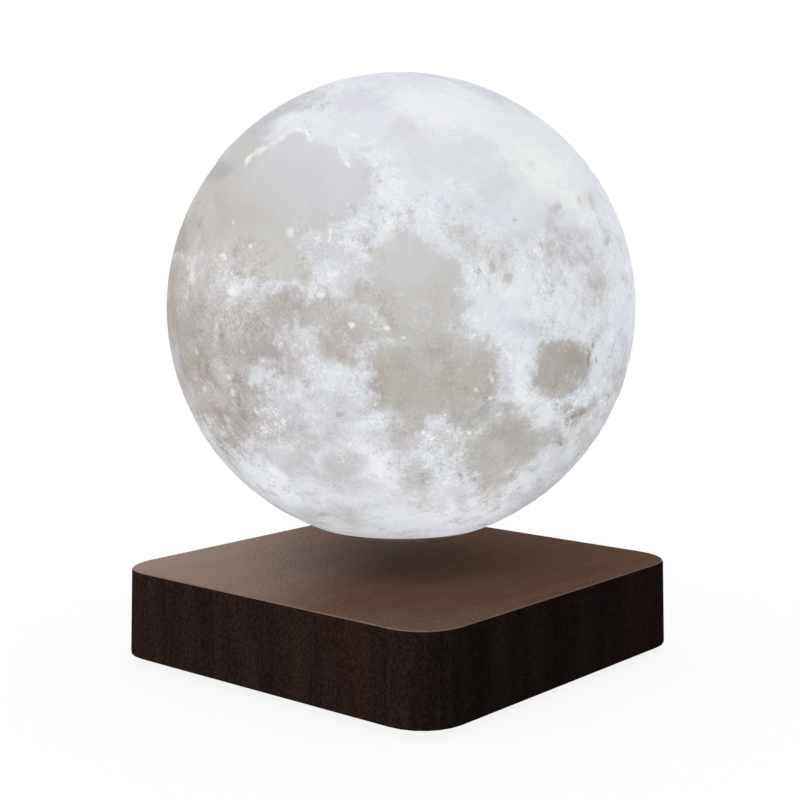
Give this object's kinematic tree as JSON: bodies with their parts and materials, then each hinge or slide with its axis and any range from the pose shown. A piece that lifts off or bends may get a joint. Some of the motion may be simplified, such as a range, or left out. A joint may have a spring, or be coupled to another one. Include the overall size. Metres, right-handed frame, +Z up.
{
  "type": "levitating moon lamp",
  "caption": "Hollow printed moon globe with lights, floating and turning over a square wooden magnet base.",
  "frame": {"origin": "centre of the rectangle of the four rubber feet, on the table, on the upright axis of base and globe", "axes": "+Z up through the globe's centre; the base's sides lie along X and Y; the power socket is on the +Y side, and the picture looks at the corner between -Y and +X"},
  "size_m": [0.1492, 0.1495, 0.1881],
  "materials": {
    "walnut": "dark walnut, satin lacquer",
    "cover_black": "fine moulded texture",
    "foot_rubber": "matt",
    "zinc_steel": "zinc plated",
    "ferrite": "sintered, dark grey",
    "carrier_white": "moulded",
    "bobbin_black": "moulded nylon",
    "copper": "enamelled copper wire",
    "iron": "turned soft iron",
    "board_green": "solder mask",
    "board_white": "white solder mask",
    "chip_black": "moulded epoxy",
    "sleeve_blue": "shrink sleeve over aluminium",
    "socket_black": "moulded",
    "nickel": "nickel plated",
    "moon_white": "printed white shell in grey and warm beige tones",
    "cup_white": "printed white",
    "led_yellow": "white body with yellow phosphor window"
  },
  "bodies": {
    "base": {"base_housing": "walnut", "bottom_cover": "cover_black", "cover_screw_1": "zinc_steel", "cover_screw_2": "zinc_steel", "cover_screw_3": "zinc_steel", "cover_screw_4": "zinc_steel", "foot_1": "foot_rubber", "foot_2": "foot_rubber", "foot_3": "foot_rubber", "foot_4": "foot_rubber", "carrier_plate": "carrier_white", "ring_magnet": "ferrite", "transmitter_coil": "copper", "coil_bobbin_1": "bobbin_black", "coil_bobbin_2": "bobbin_black", "coil_bobbin_3": "bobbin_black", "coil_bobbin_4": "bobbin_black", "coil_winding_1": "copper", "coil_winding_2": "copper", "coil_winding_3": "copper", "coil_winding_4": "copper", "pole_core_1": "iron", "pole_core_2": "iron", "pole_core_3": "iron", "pole_core_4": "iron", "sensor_board": "board_green", "hall_sensor_x": "chip_black", "hall_sensor_y": "chip_black", "hall_sensor_z": "chip_black", "main_board": "board_green", "driver_chip_1": "chip_black", "driver_chip_2": "chip_black", "electrolytic_cap_1": "sleeve_blue", "electrolytic_cap_2": "sleeve_blue", "touch_spring": "nickel", "dc_jack": "socket_black", "jack_nut": "nickel"},
    "float_core": {"float_magnet": "nickel"},
    "moon": {"moon_globe": "moon_white", "magnet_cup": "cup_white", "receiver_coil": "copper", "led_board": "board_white", "led_1": "led_yellow", "led_2": "led_yellow", "led_3": "led_yellow", "led_4": "led_yellow", "led_5": "led_yellow", "led_6": "led_yellow", "receiver_chip": "chip_black", "receiver_capacitor": "sleeve_blue", "board_screw_1": "zinc_steel", "board_screw_2": "zinc_steel", "board_screw_3": "zinc_steel"}
  },
  "joints": [
    {"name": "float_lift", "type": "slide", "parent": "base", "child": "float_core", "axis": [0, 0, 1], "range_m": [-0.0078, 0.12], "stiffness_N_per_m": 40, "springref_m": 0.059},
    {"name": "moon_spin", "type": "hinge", "parent": "float_core", "child": "moon", "pos_m": [0, 0, 0.1134], "axis": [0, 0, 1], "continuous": true}
  ]
}
